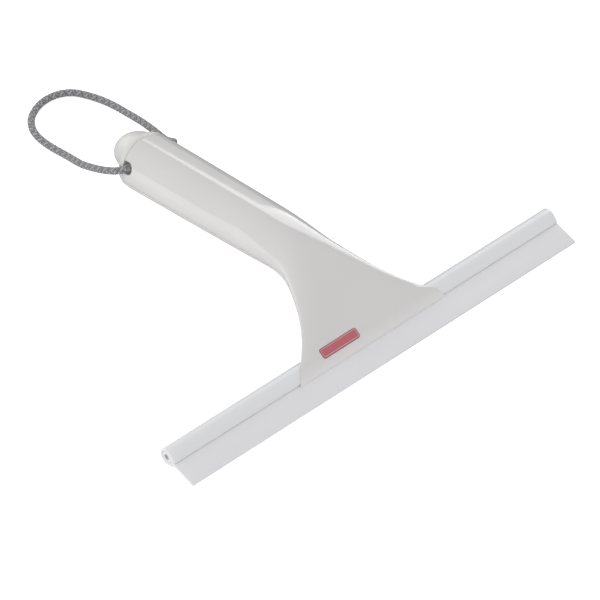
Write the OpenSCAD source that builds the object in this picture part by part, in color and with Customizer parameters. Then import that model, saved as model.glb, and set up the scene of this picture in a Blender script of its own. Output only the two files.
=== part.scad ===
// Window squeegee with an arched hollow handle, a flared head, a channel with a slide-in rubber blade,
// and a plug-in end cap that carries a hanging cord. It lies on the edge of its blade and on the end
// of its handle: X runs along the blade, Y from the blade towards the cap, Z up from the table.
// Heights and stations below are measured from the working edge of the blade (edge = 0, table = 0).

/* [Blade] */
// Length of the blade and of its channel
blade_w = 240; // [200:1:300]
// Slope of the rubber below the horizontal, degrees
blade_slope = 15.2; // [14.8:0.1:15.4]
// Thickness of the rubber's flap
flap_t = 1.5; // [1.2:0.1:1.6]
// Radius of the rubber's bead
bead_r = 2.9; // [2.6:0.1:3]
// Radius of the hole along the bead
bead_bore_r = 1.5; // [1:0.1:1.7]

/* [Channel] */
// Distance from the working edge back to the tube's centre line
tube_y = 17.85; // [17.6:0.05:18]
// Outer radius of the channel's tube
tube_r = 4.35; // [4.2:0.05:4.4]
// Length of the lips that grip the rubber, from the tube's centre
lip_len = 5.4; // [5:0.1:5.8]
// Thickness of each lip
lip_t = 1; // [0.8:0.1:1.2]
// Gap between the rubber and the channel
slide_gap = 0.15; // [0.1:0.05:0.25]

/* [Handle] */
// Wall of the two handle shells
wall = 2; // [1.8:0.1:2.2]
// Station of the seam between the handle and the end cap
seam_y = 168.7; // [160:0.1:175]
// Half width of the handle at that seam
end_half_w = 15.3; // [15:0.1:15.6]
// Half height of the handle at that seam
end_half_h = 14.4; // [14.2:0.1:14.6]
// Slope of the handle's centre line, degrees
handle_slope = 6.9; // [6.5:0.1:7.3]

/* [Cap] */
// Length of the cap's rounded collar
collar_len = 4; // [3.5:0.1:4.5]
// Distance from the seam to the tip of the cap's lug
lug_len = 19; // [17:0.5:20]
// Outer radius of the plug inside the handle
plug_r = 11.2; // [10.8:0.1:11.3]
// Length of the plug
plug_len = 16; // [12:0.5:20]

/* [Cord] */
// Diameter of the braided cord
cord_d = 3.7; // [3.2:0.1:3.8]

/* [Badge] */
// Length of the plain badge
badge_len = 22.5; // [18:0.5:24]
// Width of the plain badge
badge_w = 4.9; // [4:0.1:5.2]

/* [Hidden] */
$fn = 64;
eps = 0.01;

// The rubber's flap reaches from the tube's centre to the working edge, whose lower corner is on the
// table, and the end of the handle rests on the table too
flap_len = (tube_y - flap_t / 2 * sin(blade_slope)) / cos(blade_slope);
tube_z = flap_len * sin(blade_slope) + flap_t / 2 * cos(blade_slope);
seam_z = end_half_h * cos(handle_slope);

// Whole length from the working edge to the tip of the lug; the frame's origin is below its middle
tip_y = seam_y + lug_len * cos(handle_slope);
shift_y = -tip_y / 2;

// Shape of the shells along the length: each row is a station and a value there, joined smoothly.
// Height of the section's widest line
CENTRE_Z = [
    [12.6, 5.6], [13.4, 7.3], [14.4, 8.7], [16, 9.9], [18, 10.3], [20.4, 10.7], [24, 12.9], [28, 15.3],
    [33, 18], [38, 20.4], [44, 22.8], [50, 24.8], [57, 26.5], [66, 26.5], [77, 25.2], [90, 23.7],
    [seam_y, seam_z]
];
// Half width of the section
HALF_W = [
    [12.6, 44.4], [16, 41.3], [20, 37.3], [24, 33.2], [28, 29.5], [32, 26.4], [37, 23.2], [43, 20.3],
    [50, 17.1], [54, 15.4], [58, 14.3], [66, 13.8], [77, 13.9], [113, 14.6], [seam_y, end_half_w]
];
// Height of the crown above the widest line
CROWN = [
    [12.6, 0.5], [14.4, 0.8], [16, 1], [18, 1.9], [20.4, 3], [24, 3.2], [28, 3.2], [33, 3.6], [38, 4.2],
    [44, 5.5], [50, 6.9], [57, 8.9], [66, 11.5], [77, 13.3], [90, 13.6], [seam_y, end_half_h]
];
// Depth of the underside below the widest line
BELLY = [
    [30, 4], [38, 5.4], [44, 6.8], [50, 8.4], [57, 10.3], [66, 12.2], [77, 13.1], [90, 13.6],
    [seam_y, end_half_h]
];
// Depth of the line where the two shells meet, below the widest line
PARTING = [
    [12.6, 0.4], [14, 2.6], [16, 4.3], [18, 4.7], [22, 5.6], [26, 4.5], [30, 2.4], [38, 2.2], [50, 2.6],
    [60, 3.4], [70, 4], [seam_y, 4.2]
];
// How square the section's shoulders are: 2 is an ellipse
SQUARE = [[12.6, 3], [30, 2.8], [44, 2.4], [57, 2.1], [68, 2], [seam_y, 2]];
// Half height of the ellipse that the side walls follow: large on the head, where they are upright
SIDE_H = [[12.6, 60], [40, 40], [57, 20], [70, 14.4], [seam_y, end_half_h]];

STATIONS = [
    12.6, 13, 13.5, 14.2, 15, 16, 17, 18.5, 20, 22, 24, 26, 28, 30, 33, 36, 39, 42, 45, 48, 51, 54, 57,
    60, 64, 68, 73, 78, 84, 92, 100, 110, 125, 140, 155, seam_y
];
REAR_START = 30;
HOLLOW_START = 26;
HOLLOW_FULL = 32;
ARC_STEPS = 20;
TILT_START = 60;
TILT_FULL = 80;

// Fasteners: self-tapping screws driven up from below, as [x, y, height of the seat]
SCREWS = [[-9.5, 46, 18.9], [9.5, 46, 18.9], [0, 95, 13.2], [0, 138, 8.8]];
screw_r = 1.5;
screw_len = 6;
screw_head_r = 2.8;
screw_head_t = 2;
recess_len = 3.4;
recess_w = 0.8;
recess_t = 1.2;
pilot_r = 1.5;
clear_r = 1.7;
counterbore_r = 3.2;
boss_r = 3.3;
rear_boss_r = 4.6;
seat_t = 1.6;

// Where the cord crosses the handle: distance in from the seam and height above the centre line
cross_in = 3.2;
cross_up = 4.85;
notch_r = 3;
cross_bore_r = 2.3;
ferrule_r = 2.7;
ferrule_len = 9;
cord_sides = 8;
cord_step = 2 * cord_d;

// The cord's route from the middle of the ferrule, out on the left, round the loop and back in
CORD_ROUTE = [
    [-0.4, 166.1, 19.5], [-10.6, 166.1, 19.5], [-13.6, 166.7, 19.3], [-16.1, 168.1, 18.7], [-17.9, 170.4, 17.7],
    [-18.9, 173.4, 16.5], [-19.6, 177.2, 14.9], [-20, 184, 12.2], [-19.8, 192, 9], [-19.2, 197, 7.2],
    [-18.1, 203.5, 5.1], [-17.3, 210.5, 3.2], [-17.3, 217, 2.2], [-17.5, 223, 1.9], [-17.2, 229.5, 1.9],
    [-15.4, 236, 1.9], [-11, 242.4, 1.9], [-5, 246.6, 1.9], [1.3, 248.8, 1.9], [7.4, 249.1, 1.9],
    [13.2, 247.4, 1.9], [17.8, 243.7, 1.9], [21, 238.2, 1.9], [22.9, 232, 2.4], [23.5, 226, 3.4],
    [23.5, 218.5, 4.9], [23, 212, 6.2], [22.4, 205.5, 7.7], [21.5, 197.5, 9.5], [19.9, 187, 11.6],
    [18.9, 180.2, 12.4], [18.4, 176, 13], [18.1, 172.4, 14.4], [17.5, 169.7, 16.2], [16.1, 167.7, 18.1],
    [13.7, 166.5, 19.3], [10.6, 166.1, 19.5], [0.4, 166.1, 19.5]
];

// Badge: its middle and the slope of the face that it is let into
badge_x = -17;
badge_y = 16.2;
badge_t = 0.6;
badge_lift = 0.25;
badge_corner = 1.2;
badge_slope = 37;

// ---- Curves through hand-chosen points ----

function span(rows, at, i = 0) =
    (i >= len(rows) - 2 || at <= rows[i + 1][0]) ? i : span(rows, at, i + 1);

function grade(rows, i) =
    let (lo = max(i - 1, 0), hi = min(i + 1, len(rows) - 1))
    (rows[hi][1] - rows[lo][1]) / (rows[hi][0] - rows[lo][0]);

// From a to b as t goes from 0 to 1, leaving along ga and arriving along gb
function hermite(a, b, ga, gb, t) =
    a * (2 * t * t * t - 3 * t * t + 1) + ga * (t * t * t - 2 * t * t + t)
        + b * (3 * t * t - 2 * t * t * t) + gb * (t * t * t - t * t);

function along(rows, at) =
    let (
        i = span(rows, at),
        h = rows[i + 1][0] - rows[i][0]
    )
    hermite(
        rows[i][1], rows[i + 1][1], grade(rows, i) * h, grade(rows, i + 1) * h, (at - rows[i][0]) / h
    );

function ramp(at, start, full) = min(1, max(0, (at - start) / (full - start)));

function tilt(at) = handle_slope * ramp(at, TILT_START, TILT_FULL);

// A point of a section: u across, v up in the section's own leaning plane
function on_section(at, u, v) =
    [u, at + v * sin(tilt(at)), along(CENTRE_Z, at) + v * cos(tilt(at))];

function power(value, exponent) = sign(value) * pow(abs(value), exponent);

// Half width of a section at the parting line
function part_half(at) =
    along(HALF_W, at) * sqrt(1 - pow(along(PARTING, at) / along(SIDE_H, at), 2));

// ---- Rings of the two shells ----

// Half arch between two base points at height base, of half width half and rise rise
function arch(at, half, base, rise, steps = ARC_STEPS) =
    let (e = 2 / along(SQUARE, at))
    [for (i = [0 : steps])
        let (a = 180 - 180 * i / steps)
        on_section(at, half * power(cos(a), e), base + rise * power(sin(a), e))];

function reversed(list) = [for (i = [len(list) - 1 : -1 : 0]) list[i]];

function front_ring(at) =
    let (
        part = along(PARTING, at),
        half = part_half(at),
        hollow = max(0.4, (along(CROWN, at) - wall + part) * ramp(at, HOLLOW_START, HOLLOW_FULL))
    )
    concat(
        [on_section(at, -half, -part)],
        arch(at, along(HALF_W, at), 0, along(CROWN, at)),
        [on_section(at, half, -part)],
        reversed(arch(at, half - wall, -part, hollow, ARC_STEPS + 2))
    );

function rear_ring(at) =
    let (
        part = along(PARTING, at),
        half = part_half(at),
        belly = along(BELLY, at)
    )
    concat(
        arch(at, half, -part, -(belly - part)),
        reversed(arch(at, half - wall, -part, part - (belly - wall)))
    );

// A closed solid through a list of rings with equal numbers of points. Each end is closed by strips
// between a point and its opposite one, counted back from the ring's end, so a C shape closes too.
module loft(rings) {
    n = len(rings[0]);
    last = (len(rings) - 1) * n;
    points = [for (ring = rings) for (p = ring) p];
    sides = [for (r = [0 : n : last - n]) for (i = [0 : n - 1])
        [r + i, r + n + i, r + n + (i + 1) % n, r + (i + 1) % n]];
    first_end = [for (i = [0 : n / 2 - 2]) [i, i + 1, n - 2 - i, n - 1 - i]];
    last_end = [for (i = [0 : n / 2 - 2])
        [last + n - 1 - i, last + n - 2 - i, last + i + 1, last + i]];
    polyhedron(points, concat(first_end, sides, last_end), convexity = 8);
}

// ---- Placing ----

module placed() {
    translate([0, shift_y, 0]) children();
}

// Runs a profile drawn as (distance from the edge, height) along X, centred
module along_x(length) {
    rotate([90, 0, 90]) translate([0, 0, -length / 2]) linear_extrude(length) children();
}

// Puts things on the handle's own axis: +Y outward from the seam
module on_axis() {
    translate([0, seam_y, seam_z]) rotate([-handle_slope, 0, 0]) children();
}

module cross_cylinder(radius, length) {
    on_axis() translate([0, -cross_in, cross_up]) rotate([0, 90, 0])
        cylinder(r = radius, h = length, center = true);
}

// ---- Blade and channel profiles, with the tube's centre at the origin and the flap along -x ----

module in_channel_frame() {
    translate([tube_y, tube_z]) rotate(blade_slope) children();
}

// The lips run from a root inside the tube
module channel_outline() {
    circle(tube_r);
    lip_top = flap_t / 2 + slide_gap + lip_t;
    root_x = tube_r * 0.46;
    root_y = tube_r * 0.8;
    polygon([[-lip_len, lip_top], [-lip_len, -lip_top], [-root_x, -root_y], [-root_x, root_y]]);
}

module channel_inside() {
    circle(bead_r + slide_gap);
    half_gap = flap_t / 2 + slide_gap;
    translate([-lip_len - 1, -half_gap]) square([lip_len + 1, 2 * half_gap]);
}

module blade_profile() {
    difference() {
        union() {
            circle(bead_r);
            translate([-flap_len, -flap_t / 2]) square([flap_len, flap_t]);
        }
        circle(bead_bore_r);
    }
}

module blade_channel() {
    color("gainsboro") placed() along_x(blade_w) in_channel_frame() difference() {
        channel_outline();
        channel_inside();
    }
}

module rubber_blade() {
    color("lightgray") placed() along_x(blade_w) in_channel_frame() blade_profile();
}

// ---- Shells ----

module cord_notches() {
    cross_cylinder(notch_r, 40);
    on_axis() translate([-20, -cross_in, cross_up - notch_r]) cube([40, cross_in + 1, 2 * notch_r]);
}

// Height of the outer skin above the widest line, at a distance x from the middle
function skin(at, x) =
    along(CROWN, at) * pow(1 - pow(abs(x) / along(HALF_W, at), along(SQUARE, at)), 1 / along(SQUARE, at));

function skin_z(x, y) = along(CENTRE_Z, y) + skin(y, x);

// A boss under the outer skin; its top is cut along the skin's own slope, half way into the wall
module front_boss(at) {
    top = skin_z(at[0], at[1]) - wall / 2;
    bottom = at[2] + seat_t + 0.1;
    rise = skin_z(at[0], at[1] + boss_r) - skin_z(at[0], at[1] - boss_r);
    fall = skin_z(at[0] - boss_r, at[1]) - skin_z(at[0] + boss_r, at[1]);
    difference() {
        translate([at[0], at[1], bottom]) cylinder(r = boss_r, h = top + boss_r - bottom);
        translate([at[0], at[1], top]) rotate([atan(rise / (2 * boss_r)), atan(fall / (2 * boss_r)), 0])
            translate([-10, -10, 0]) cube([20, 20, 10]);
    }
}

module front_shell() {
    color("whitesmoke") placed() difference() {
        union() {
            loft([for (at = STATIONS) front_ring(at)]);
            for (at = SCREWS) front_boss(at);
        }
        along_x(blade_w) in_channel_frame() channel_outline();
        for (at = SCREWS) translate([at[0], at[1], at[2]]) cylinder(r = pilot_r, h = screw_len + 0.5);
        cord_notches();
        in_badge_frame() badge_block(2 * badge_t);
    }
}

// Jaw that holds the channel from behind and below
module jaw() {
    along_x(50) difference() {
        polygon([
            [20.5, 0.9], [23, 2.2], [25, 5], [27.6, 9.2], [30, 12.1], [33, 14.2], [33, 15.3],
            [30.3, 13.8], [26.3, 9.2], [23.4, 5.9], [21, 5.2], [19.5, 3]
        ]);
        in_channel_frame() circle(tube_r);
    }
}

module rear_boss(at) {
    bottom = along(CENTRE_Z, at[1]) - along(BELLY, at[1]) + wall / 2;
    translate([at[0], at[1], bottom]) cylinder(r = rear_boss_r, h = at[2] + seat_t - bottom);
}

module rear_shell() {
    color("whitesmoke") placed() difference() {
        union() {
            loft([for (at = STATIONS) if (at >= REAR_START) reversed(rear_ring(at))]);
            jaw();
            for (at = SCREWS) rear_boss(at);
        }
        for (at = SCREWS) {
            translate([at[0], at[1], 0]) cylinder(r = clear_r, h = at[2] + seat_t + 1);
            translate([at[0], at[1], 0]) cylinder(r = counterbore_r, h = at[2]);
        }
    }
}

module screw() {
    difference() {
        union() {
            cylinder(r = screw_r, h = screw_len);
            translate([0, 0, -screw_head_t]) cylinder(r = screw_head_r, h = screw_head_t);
        }
        for (turn = [0, 90]) rotate(turn)
            translate([-recess_len / 2, -recess_w / 2, -screw_head_t - eps])
                cube([recess_len, recess_w, recess_t]);
    }
}

module shell_screws() {
    color("silver") placed() for (at = SCREWS) translate(at) screw();
}

// ---- Badge ----

// Puts things on the sloping face of the head, with z = 0 at the underside of the badge
module in_badge_frame() {
    translate([badge_x, badge_y, skin_z(badge_x, badge_y) + badge_lift])
        rotate([badge_slope, 0, 0]) translate([0, 0, -badge_t]) children();
}

module badge_block(height) {
    linear_extrude(height) offset(r = badge_corner)
        square([badge_len - 2 * badge_corner, badge_w - 2 * badge_corner], center = true);
}

module badge() {
    color("crimson") placed() in_badge_frame() badge_block(badge_t);
}

// ---- End cap ----

function oval(at, half_w, half_h, lift, squareness, steps = 28) =
    [for (i = [0 : steps - 1])
        let (a = -360 * i / steps, e = 2 / squareness)
        [half_w * power(cos(a), e), at, lift + half_h * power(sin(a), e)]];

COLLAR = [[0, 15.2, 14.2], [1.4, 15.2, 14.2], [2.4, 14.9, 13.9], [3.4, 14.1, 13.1], [4, 12.6, 11.6]];

module collar() {
    loft([for (row = COLLAR) oval(row[0] * collar_len / 4, row[1], row[2], 0, 2)]);
}

lug_half_w = 11.8;
lug_half_h = 10.8;
lug_lift = 3;
LUG_BLUNT = 0.85;

module lug() {
    loft(concat(
        [oval(1, lug_half_w, lug_half_h, lug_lift, 2.1)],
        [for (a = [10 : 10 : 80])
            let (size = pow(cos(a), LUG_BLUNT))
            oval(lug_len * sin(a), lug_half_w * size, lug_half_h * size, lug_lift * cos(a), 2.1)],
        [oval(lug_len, 0.6, 0.6, 0, 2)]
    ));
}

module plug() {
    translate([0, 1, 0]) rotate([90, 0, 0]) difference() {
        cylinder(r = plug_r, h = plug_len + 1);
        translate([0, 0, 1]) cylinder(r = plug_r - 1.8, h = plug_len + 1);
    }
}

module end_cap() {
    color("whitesmoke") placed() difference() {
        on_axis() {
            collar();
            lug();
            plug();
        }
        cross_cylinder(cross_bore_r, 30);
    }
}

// ---- Cord ----

// Direction of the route at point i, for each millimetre along it
function heading(route, i) =
    let (back = route[max(i - 1, 0)], ahead = route[min(i + 1, len(route) - 1)])
    (ahead - back) / (norm(ahead - route[i]) + norm(route[i] - back));

// Points along the route, at most cord_step apart
function route_points(route) = concat(
    [for (i = [0 : len(route) - 2])
        let (
            gap = norm(route[i + 1] - route[i]),
            leave = heading(route, i) * gap,
            arrive = heading(route, i + 1) * gap,
            parts = ceil(gap / cord_step)
        )
        for (k = [0 : parts - 1]) hermite(route[i], route[i + 1], leave, arrive, k / parts)],
    [route[len(route) - 1]]
);

function unit(v) = v / norm(v);

// A ring of the cord: one side is held level, so the tube doesn't twist
function cord_ring(points, i) =
    let (
        way = unit(points[min(i + 1, len(points) - 1)] - points[max(i - 1, 0)]),
        side = unit(cross(way, [0, 0.12, 1])),
        top = cross(side, way)
    )
    [for (k = [0 : cord_sides - 1])
        let (a = 360 * k / cord_sides)
        points[i] + cord_d / 2 * (cos(a) * side + sin(a) * top)];

module hang_cord() {
    points = route_points(CORD_ROUTE);
    color("dimgray") placed() loft([for (i = [0 : len(points) - 1]) reversed(cord_ring(points, i))]);
}

module cord_ferrule() {
    color("silver") placed() on_axis() translate([0, -cross_in, cross_up]) rotate([0, 90, 0])
        difference() {
            cylinder(r = ferrule_r, h = ferrule_len, center = true);
            cylinder(r = cord_d / 2 + 0.05, h = ferrule_len + 1, center = true);
        }
}

front_shell();
rear_shell();
shell_screws();
blade_channel();
rubber_blade();
badge();
end_cap();
hang_cord();
cord_ferrule();
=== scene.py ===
"""Looks of the window squeegee: shells, channel, rubber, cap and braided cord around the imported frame.

Lengths are millimetres, measured as the part is laid out: X along the blade, Y back from the blade's
working edge, Z up from the table. to_frame() turns them into the frame's metres.
"""
import math

import bmesh
import bpy
import numpy as np
from mathutils import Matrix, Vector


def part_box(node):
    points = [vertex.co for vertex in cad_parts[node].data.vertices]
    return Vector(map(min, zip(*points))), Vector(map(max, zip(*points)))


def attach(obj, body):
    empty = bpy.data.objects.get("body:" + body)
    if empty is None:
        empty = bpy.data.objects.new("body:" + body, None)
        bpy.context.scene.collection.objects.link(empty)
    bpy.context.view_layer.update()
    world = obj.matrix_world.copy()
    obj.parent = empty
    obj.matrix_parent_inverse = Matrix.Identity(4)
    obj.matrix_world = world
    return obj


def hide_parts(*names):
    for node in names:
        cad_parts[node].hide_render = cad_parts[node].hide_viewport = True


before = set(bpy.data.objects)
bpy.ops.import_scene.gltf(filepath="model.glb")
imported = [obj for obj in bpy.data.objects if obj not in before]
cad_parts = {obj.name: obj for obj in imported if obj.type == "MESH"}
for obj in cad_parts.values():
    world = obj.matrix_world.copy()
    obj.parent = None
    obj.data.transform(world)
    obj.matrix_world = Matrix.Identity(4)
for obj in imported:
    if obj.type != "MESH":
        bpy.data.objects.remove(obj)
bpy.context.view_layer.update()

MM = 0.001
EDGE_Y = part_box("rubber_blade")[0].y / MM
BLADE_W = (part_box("rubber_blade")[1].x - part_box("rubber_blade")[0].x) / MM


def to_frame(points):
    """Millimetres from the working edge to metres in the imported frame."""
    return (np.asarray(points, float) + [0, EDGE_Y, 0]) * MM


# ---- Camera ----

CAMERA_AZIMUTH = math.radians(-42.643)
CAMERA_ELEVATION = math.radians(42.05)
CAMERA_DISTANCE = 1.8
CAMERA_AIM = (-17.81, 41.77, 20.68)
CAMERA_LENS = 237.2
CAMERA_SENSOR = 36


def add_camera():
    """The photo's view: a long lens, from the front left and above."""
    az, el = CAMERA_AZIMUTH, CAMERA_ELEVATION
    back = Vector((math.sin(az) * math.cos(el), -math.cos(az) * math.cos(el), math.sin(el)))
    right = Vector((math.cos(az), math.sin(az), 0))
    data = bpy.data.cameras.new("camera")
    data.lens = CAMERA_LENS
    data.sensor_width = CAMERA_SENSOR
    camera = bpy.data.objects.new("camera", data)
    turn = Matrix((right, back.cross(right), back)).transposed().to_4x4()
    camera.matrix_world = Matrix.Translation(Vector(to_frame(CAMERA_AIM)) + back * CAMERA_DISTANCE) @ turn
    bpy.context.scene.collection.objects.link(camera)
    bpy.context.scene.camera = camera


add_camera()

# ---- Mesh helpers ----


def new_piece(name, vertices, faces, smooth_angle=35):
    """A mesh object from millimetre points, shaded smooth up to an angle."""
    mesh = bpy.data.meshes.new(name)
    mesh.from_pydata([tuple(p) for p in to_frame(vertices)], [], faces)
    mesh.validate()
    piece = bpy.data.objects.new(name, mesh)
    bpy.context.scene.collection.objects.link(piece)
    finish_mesh(piece, smooth_angle)
    return piece


def finish_mesh(piece, smooth_angle=35):
    """Makes the faces point outwards and shades the piece smooth up to an angle."""
    work = bmesh.new()
    work.from_mesh(piece.data)
    bmesh.ops.recalc_face_normals(work, faces=work.faces)
    work.to_mesh(piece.data)
    work.free()
    piece.data.shade_smooth()
    piece.data.set_sharp_from_angle(angle=math.radians(smooth_angle))


def apply_modifiers(piece):
    """Bakes the piece's modifiers into its mesh."""
    graph = bpy.context.evaluated_depsgraph_get()
    mesh = bpy.data.meshes.new_from_object(piece.evaluated_get(graph))
    piece.modifiers.clear()
    piece.data = mesh


WELD = 1e-6


def cut(piece, cutter, operation="DIFFERENCE"):
    """Takes the cutter away from the piece (or joins it on), removes the cutter and welds the edges."""
    modifier = piece.modifiers.new("cut", "BOOLEAN")
    modifier.object = cutter
    modifier.operation = operation
    modifier.solver = "EXACT"
    apply_modifiers(piece)
    bpy.data.objects.remove(cutter)
    work = bmesh.new()
    work.from_mesh(piece.data)
    bmesh.ops.remove_doubles(work, verts=work.verts, dist=WELD)
    bmesh.ops.dissolve_degenerate(work, edges=work.edges, dist=WELD)
    work.to_mesh(piece.data)
    work.free()


def grid_faces(rows, columns, first=0, closed=False):
    """Quads over a grid of points stored row after row; closed joins the last column to the first."""
    count = columns if closed else columns - 1
    return [
        (
            first + r * columns + c,
            first + r * columns + (c + 1) % columns,
            first + (r + 1) * columns + (c + 1) % columns,
            first + (r + 1) * columns + c,
        )
        for r in range(rows - 1)
        for c in range(count)
    ]


def shell_piece(name, outer, inner):
    """A wall between two grids of points with the same rows and columns, closed at all four edges."""
    rows, columns = outer.shape[:2]
    half = rows * columns
    vertices = np.concatenate([outer.reshape(-1, 3), inner.reshape(-1, 3)])
    faces = grid_faces(rows, columns) + [f[::-1] for f in grid_faces(rows, columns, half)]
    for r in range(rows - 1):
        for edge in (0, columns - 1):
            a, b = r * columns + edge, (r + 1) * columns + edge
            faces.append((a, b, b + half, a + half))
    for c in range(columns - 1):
        for edge in (0, rows - 1):
            a, b = edge * columns + c, edge * columns + c + 1
            faces.append((a, a + half, b + half, b))
    return new_piece(name, vertices, faces)


def tube_piece(name, rings, smooth_angle=35):
    """A solid through closed rings; each end is closed by a fan round the ring's middle."""
    rings = np.asarray(rings, float)
    rows, columns = rings.shape[:2]
    vertices = list(rings.reshape(-1, 3))
    faces = grid_faces(rows, columns, closed=True)
    for row in (0, rows - 1):
        middle = len(vertices)
        vertices.append(rings[row].mean(0))
        faces += [(row * columns + c, row * columns + (c + 1) % columns, middle) for c in range(columns)]
    return new_piece(name, vertices, faces, smooth_angle)


def lathe_rings(profile, steps=48):
    """Rings round Z from (radius, height) rows."""
    angles = np.arange(steps) * 2 * math.pi / steps
    return [[(r * math.cos(a), r * math.sin(a), z) for a in angles] for r, z in profile]


def even_out(line, count, turn_share=0.45):
    """The same line with count points, spread by length and by how much the line turns."""
    line = np.asarray(line, float)
    step = np.diff(line, axis=0)
    length = np.linalg.norm(step, axis=1)
    keep = length > 1e-9
    line = np.concatenate([line[:1], line[1:][keep]])
    step, length = step[keep], length[keep]
    heading = step / length[:, None]
    turn = np.zeros(len(length))
    turn[1:] = np.linalg.norm(np.diff(heading, axis=0), axis=1)
    weight = (1 - turn_share) * length / length.sum() + turn_share * turn / max(turn.sum(), 1e-9)
    place = np.concatenate([[0], np.cumsum(weight)])
    wanted = np.linspace(0, place[-1], count)
    return np.stack([np.interp(wanted, place, line[:, k]) for k in range(line.shape[1])], 1)


# ---- Shape of the shells along the length: (station, value) rows joined by smooth curves ----

SEAM_Y = 168.7
HANDLE_SLOPE = math.radians(6.9)
END_HALF_W = 15.3
END_HALF_H = 14.4
SEAM_Z = END_HALF_H * math.cos(HANDLE_SLOPE)
WALL = 2.0
HEAD_START = 11.3
REAR_START = 30.0

# Height of the section's widest line, and half its width
CENTRE_Z_ROWS = [
    (HEAD_START, 4.62), (11.7, 5.3), (12.1, 5.85), (12.6, 6.4), (13.4, 7.4), (14.4, 8.7), (16, 9.9),
    (18, 10.3), (20.4, 10.7), (24, 12.9), (28, 15.3), (33, 18), (38, 20.4), (44, 22.8), (50, 24.8),
    (57, 26.5), (66, 26.5), (77, 25.2), (90, 23.7), (SEAM_Y, SEAM_Z),
]
HALF_W_ROWS = [
    (HEAD_START, 45.5), (12.6, 44.4), (16, 41.3), (20, 37.3), (24, 33.2), (28, 29.5), (32, 26.4),
    (37, 23.2), (43, 20.3), (50, 17.1), (54, 15.4), (58, 14.3), (66, 13.8), (77, 13.9), (113, 14.6),
    (SEAM_Y, END_HALF_W),
]
# Heights above and below the widest line: the top skin, the underside and the shells' parting line
CROWN_ROWS = [
    (HEAD_START, 0.1), (11.7, 0.3), (12.1, 0.4), (12.6, 0.5), (13.4, 0.65), (14.4, 0.8), (16, 1),
    (18, 1.9), (20.4, 3), (24, 3.2), (28, 3.2), (33, 3.6), (38, 4.2), (44, 5.5), (50, 6.9), (57, 8.9),
    (66, 11.5), (77, 13.3), (90, 13.6), (SEAM_Y, END_HALF_H),
]
BELLY_ROWS = [
    (REAR_START, 4), (38, 5.4), (44, 6.8), (50, 8.4), (57, 10.3), (66, 12.2), (77, 13.1), (90, 13.6),
    (SEAM_Y, END_HALF_H),
]
PARTING_ROWS = [
    (HEAD_START, 0.15), (12.1, 0.25), (12.6, 0.4), (14, 2.6), (16, 4.3), (18, 4.7), (22, 5.6), (26, 4.5),
    (30, 2.4), (38, 2.2), (50, 2.6), (60, 3.4), (70, 4), (SEAM_Y, 4.2),
]
# How square the top arch is (2 is an ellipse), and how upright the side walls are
SQUARE_ROWS = [(12.6, 3), (30, 2.8), (44, 2.4), (57, 2.1), (68, 2), (SEAM_Y, 2)]
SIDE_H_ROWS = [(12.6, 60), (40, 40), (57, 20), (70, 14.4), (SEAM_Y, END_HALF_H)]

CURVE_STEP = 0.25
CURVE_MARGIN = 12
BELL_MIN, BELL_MAX = 0.3, 4.0
BELL_GROWS_FROM, BELL_GROWTH = 15, 0.12


def smooth_curve(rows):
    """A function of the station: straight pieces joined by tangents, then rounded off by a bell whose
    width grows from the head's thin front edge towards the handle."""
    x = np.array([r[0] for r in rows], float)
    y = np.array([r[1] for r in rows], float)
    slope = np.gradient(y, x)
    slope[1:-1] = (y[2:] - y[:-2]) / (x[2:] - x[:-2])
    at = np.arange(x[0] - CURVE_MARGIN, x[-1] + CURVE_MARGIN, CURVE_STEP)
    i = np.clip(np.searchsorted(x, at, side="right") - 1, 0, len(x) - 2)
    h = x[i + 1] - x[i]
    t = (at - x[i]) / h
    value = (
        y[i] * (2 * t**3 - 3 * t**2 + 1) + slope[i] * h * (t**3 - 2 * t**2 + t)
        + y[i + 1] * (3 * t**2 - 2 * t**3) + slope[i + 1] * h * (t**3 - t**2)
    )
    value = np.where(at < x[0], y[0] + (at - x[0]) * slope[0], value)
    value = np.where(at > x[-1], y[-1] + (at - x[-1]) * slope[-1], value)
    width = np.clip(BELL_MIN + (at - BELL_GROWS_FROM) * BELL_GROWTH, BELL_MIN, BELL_MAX)
    weight = np.exp(-0.5 * ((at[None, :] - at[:, None]) / width[:, None]) ** 2)
    value = (weight * value[None, :]).sum(1) / weight.sum(1)
    return lambda station: np.interp(station, at, value)


centre_z = smooth_curve(CENTRE_Z_ROWS)
half_w = smooth_curve(HALF_W_ROWS)
crown = smooth_curve(CROWN_ROWS)
belly = smooth_curve(BELLY_ROWS)
parting = smooth_curve(PARTING_ROWS)
square = smooth_curve(SQUARE_ROWS)
side_h = smooth_curve(SIDE_H_ROWS)


def ramp(at, start, full):
    """0 before start, 1 after full, smooth between."""
    t = np.clip((at - start) / (full - start), 0, 1)
    return t * t * (3 - 2 * t)


NECK_START, NECK_END = 60, 80


def on_section(at, line):
    """Points (across, up) of a section to millimetres; past the neck the sections lean with the axis."""
    tilt = HANDLE_SLOPE * ramp(at, NECK_START, NECK_END)
    u, v = line[:, 0], line[:, 1]
    return np.stack([u, at + v * math.sin(tilt), centre_z(at) + v * math.cos(tilt)], 1)


def part_half(at):
    """Half width of the section where the two shells meet."""
    return half_w(at) * math.sqrt(1 - (parting(at) / side_h(at)) ** 2)


def arch(at, half, base, rise, count=361):
    """Points (across, up) from left to right over a rounded arch."""
    exponent = 2 / square(at)
    angle = np.linspace(math.pi, 0, count)
    across = np.sign(np.cos(angle)) * np.abs(np.cos(angle)) ** exponent
    up = np.abs(np.sin(angle)) ** exponent
    return np.stack([half * across, base + rise * up], 1)


PART_GAP = 0.08
SIDE_STEPS = 24


def side_wall(at):
    """Front shell's left wall from the parting line up to the widest line, without its last point."""
    v = np.linspace(PART_GAP - parting(at), 0, SIDE_STEPS)[:-1]
    return np.stack([-half_w(at) * np.sqrt(1 - (v / side_h(at)) ** 2), v], 1)


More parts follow.
